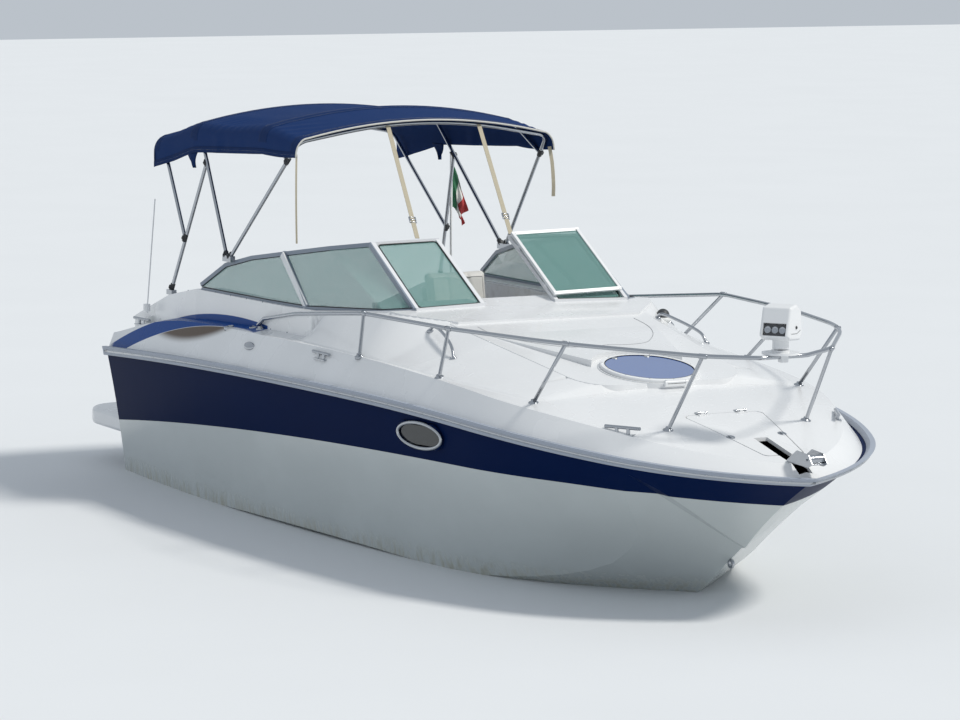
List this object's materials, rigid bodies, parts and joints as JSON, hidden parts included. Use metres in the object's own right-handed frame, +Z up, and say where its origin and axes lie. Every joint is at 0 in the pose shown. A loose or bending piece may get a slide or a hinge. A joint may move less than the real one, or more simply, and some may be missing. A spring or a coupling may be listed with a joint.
{
  "type": "motor boat",
  "caption": "Small cabin motor boat with a raised foredeck, bow rail, wraparound windshield, folding canvas top, swim platform and sterndrive.",
  "frame": {"origin": "on the centreline at the waterline, amidships", "axes": "+X towards the bow, +Y to port, +Z up"},
  "size_m": [8.084, 2.6621, 3.3743],
  "materials": {
    "hull_white": "moulded gelcoat, gloss white",
    "hull_navy": "moulded gelcoat, gloss navy blue",
    "deck_white": "moulded gelcoat, gloss white",
    "rail_white": "satin white moulding",
    "rail_grey": "satin blue grey vinyl with a bright strip",
    "stainless": "polished stainless steel",
    "trim_dark": "dark moulded plastic",
    "glass_tint": "clear glass with a pale green tint",
    "glass_dark": "dark tinted acrylic",
    "lens_blue": "blue tinted acrylic",
    "canvas_navy": "woven acrylic canvas, navy",
    "webbing": "cream polyester webbing",
    "vinyl_white": "white marine vinyl",
    "berth_cloth": "beige upholstery cloth",
    "frame_navy": "dark coated aluminium section",
    "frame_white": "white coated aluminium section",
    "drive_grey": "dark grey paint on cast aluminium",
    "prop_metal": "satin stainless steel",
    "engine_grey": "painted cast iron",
    "wheel_black": "soft grip",
    "sole_white": "non-slip moulded sole"
  },
  "bodies": {
    "root": {"hull_lower": "hull_white", "hull_band": "hull_navy", "rub_rail": "rail_grey", "deck": "deck_white", "hinges": "stainless", "cockpit_liner": "sole_white", "berth_base": "sole_white", "berth_cushion": "berth_cloth", "cabin_sole": "sole_white", "windshield_frame": "frame_navy", "front_glass": "glass_tint", "side_glass": "glass_tint", "door_tracks": "trim_dark", "engine_box": "deck_white", "bench_cushions": "vinyl_white", "lounge_base": "deck_white", "lounge_cushions": "vinyl_white", "engine": "engine_grey", "swim_platform": "deck_white", "drive_housing": "drive_grey", "dash": "deck_white", "seat_post": "stainless", "bow_rail": "stainless", "hatch_ring": "deck_white", "port_rims": "stainless", "port_glass": "glass_dark", "cleats": "stainless", "bow_roller": "stainless", "bow_eye": "stainless", "canopy_frame": "stainless", "canopy": "canvas_navy", "canopy_straps": "webbing", "spotlight_foot": "rail_white", "antenna": "rail_white", "trim_tabs": "stainless"},
    "drive_gimbal": {"drive_ring": "drive_grey"},
    "drive_leg": {"drive_leg": "drive_grey"},
    "propeller": {"propeller": "prop_metal"},
    "steering_wheel": {"steering_wheel": "wheel_black"},
    "hatch_lid": {"hatch_rim": "frame_white", "hatch_lens": "lens_blue"},
    "locker_lid": {"locker_lid": "deck_white"},
    "center_pane": {"swing_frame": "frame_white", "swing_glass": "glass_tint"},
    "companion_door": {"companion_door": "glass_dark"},
    "stern_door": {"transom_door": "deck_white"},
    "sunpad_lid": {"sunpad_lid": "deck_white", "sunpad": "vinyl_white"},
    "helm_seat": {"seat_shell": "deck_white", "seat_cushions": "vinyl_white"},
    "spotlight": {"spotlight_head": "rail_white"}
  },
  "joints": [
    {"name": "drive_steer", "type": "hinge", "parent": "root", "child": "drive_gimbal", "pos_m": [-3.72, 0, -0.11], "axis": [0, 0, 1], "range_deg": [-28, 28]},
    {"name": "drive_trim", "type": "hinge", "parent": "drive_gimbal", "child": "drive_leg", "pos_m": [-3.72, 0, -0.11], "axis": [0, 1, 0], "range_deg": [-4, 30]},
    {"name": "propeller_spin", "type": "hinge", "parent": "drive_leg", "child": "propeller", "pos_m": [-4.33, 0, -0.54], "axis": [1, 0, 0], "continuous": true},
    {"name": "wheel_turn", "type": "hinge", "parent": "root", "child": "steering_wheel", "pos_m": [-0.44, 0.57, 1.15], "axis": [0.8829, 0, -0.4695], "range_deg": [-477, 477]},
    {"name": "hatch_lift", "type": "hinge", "parent": "root", "child": "hatch_lid", "pos_m": [2.13678, 0, 1.19908], "axis": [0, 1, 0], "range_deg": [0, 80]},
    {"name": "locker_lift", "type": "hinge", "parent": "root", "child": "locker_lid", "pos_m": [2.643, 0, 1.0842], "axis": [0, -1, 0], "range_deg": [0, 95]},
    {"name": "pane_swing", "type": "hinge", "parent": "root", "child": "center_pane", "pos_m": [0.23297, 0.245, 1.4976], "axis": [-0.8669, 0.0056, 0.4984], "range_deg": [-178, 0]},
    {"name": "companion_slide", "type": "slide", "parent": "root", "child": "companion_door", "axis": [0, -1, 0], "range_m": [0, 0.52]},
    {"name": "stern_door_swing", "type": "hinge", "parent": "root", "child": "stern_door", "pos_m": [-3.608, 0.85, 0.63], "axis": [0, 0, -1], "range_deg": [0, 90]},
    {"name": "sunpad_lift", "type": "hinge", "parent": "root", "child": "sunpad_lid", "pos_m": [-3.4, 0, 0.838], "axis": [0, -1, 0], "range_deg": [0, 60]},
    {"name": "seat_swivel", "type": "hinge", "parent": "root", "child": "helm_seat", "pos_m": [-1.33, 0.478, 0.8], "axis": [0, 0, 1], "range_deg": [-180, 180]},
    {"name": "light_pan", "type": "hinge", "parent": "root", "child": "spotlight", "pos_m": [3.262, 0, 1.53], "axis": [0, 0, 1], "range_deg": [-170, 170]}
  ],
  "couplings": [
    {"joint": "wheel_turn", "follows": "drive_steer", "ratio": 17}
  ]
}
